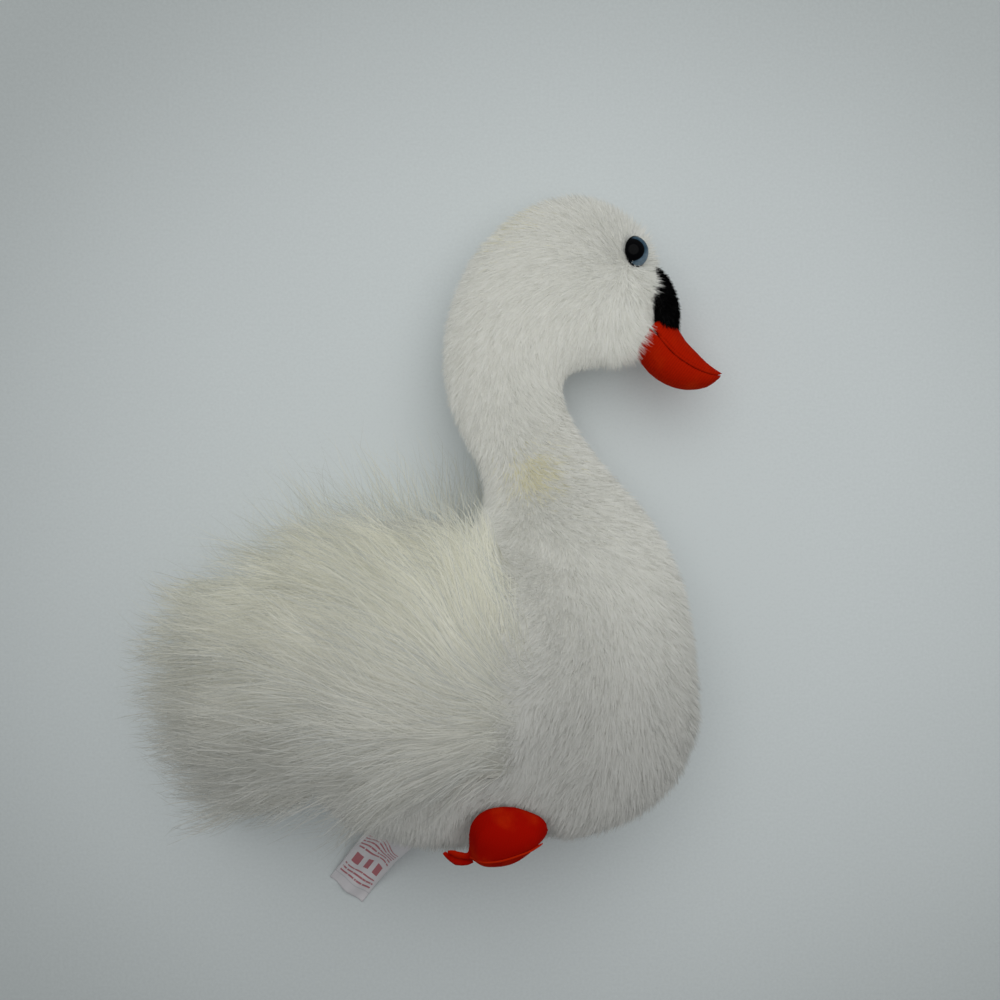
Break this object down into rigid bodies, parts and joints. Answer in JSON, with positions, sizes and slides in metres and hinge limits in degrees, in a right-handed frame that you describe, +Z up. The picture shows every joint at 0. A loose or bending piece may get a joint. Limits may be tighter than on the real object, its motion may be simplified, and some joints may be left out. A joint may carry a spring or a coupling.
{
  "type": "plush swan",
  "caption": "Stuffed plush swan lying on its left side, with long-pile wings and tail, orange fabric beak and feet, black face patch and glossy eyes.",
  "frame": {"origin": "on the flat underside of the lower wing, below the middle of the body", "axes": "+X the way the breast faces, +Y from the belly up through the neck to the head, +Z up away from the table, through the swan's right side"},
  "size_m": [0.2759, 0.3323, 0.1167],
  "materials": {
    "white_plush": "short dense pile, matt",
    "long_white_pile": "long soft pile, slight sheen",
    "black_plush": "short dense pile, matt",
    "orange_fabric": "fine ribbed weave, matt",
    "eye_plastic": "clear gloss over a black pupil and a blue iris",
    "washer_plastic": "plain moulded",
    "label_satin": "printed satin ribbon"
  },
  "bodies": {
    "root": {"body_plush": "white_plush", "face_patch": "black_plush", "beak_upper": "orange_fabric", "beak_lower": "orange_fabric", "right_eye": "eye_plastic", "left_eye": "eye_plastic", "right_eye_washer": "washer_plastic", "left_eye_washer": "washer_plastic", "right_wing": "long_white_pile", "left_wing": "long_white_pile", "tail": "long_white_pile", "right_foot": "orange_fabric", "left_foot": "orange_fabric", "care_label": "label_satin"}
  },
  "joints": []
}
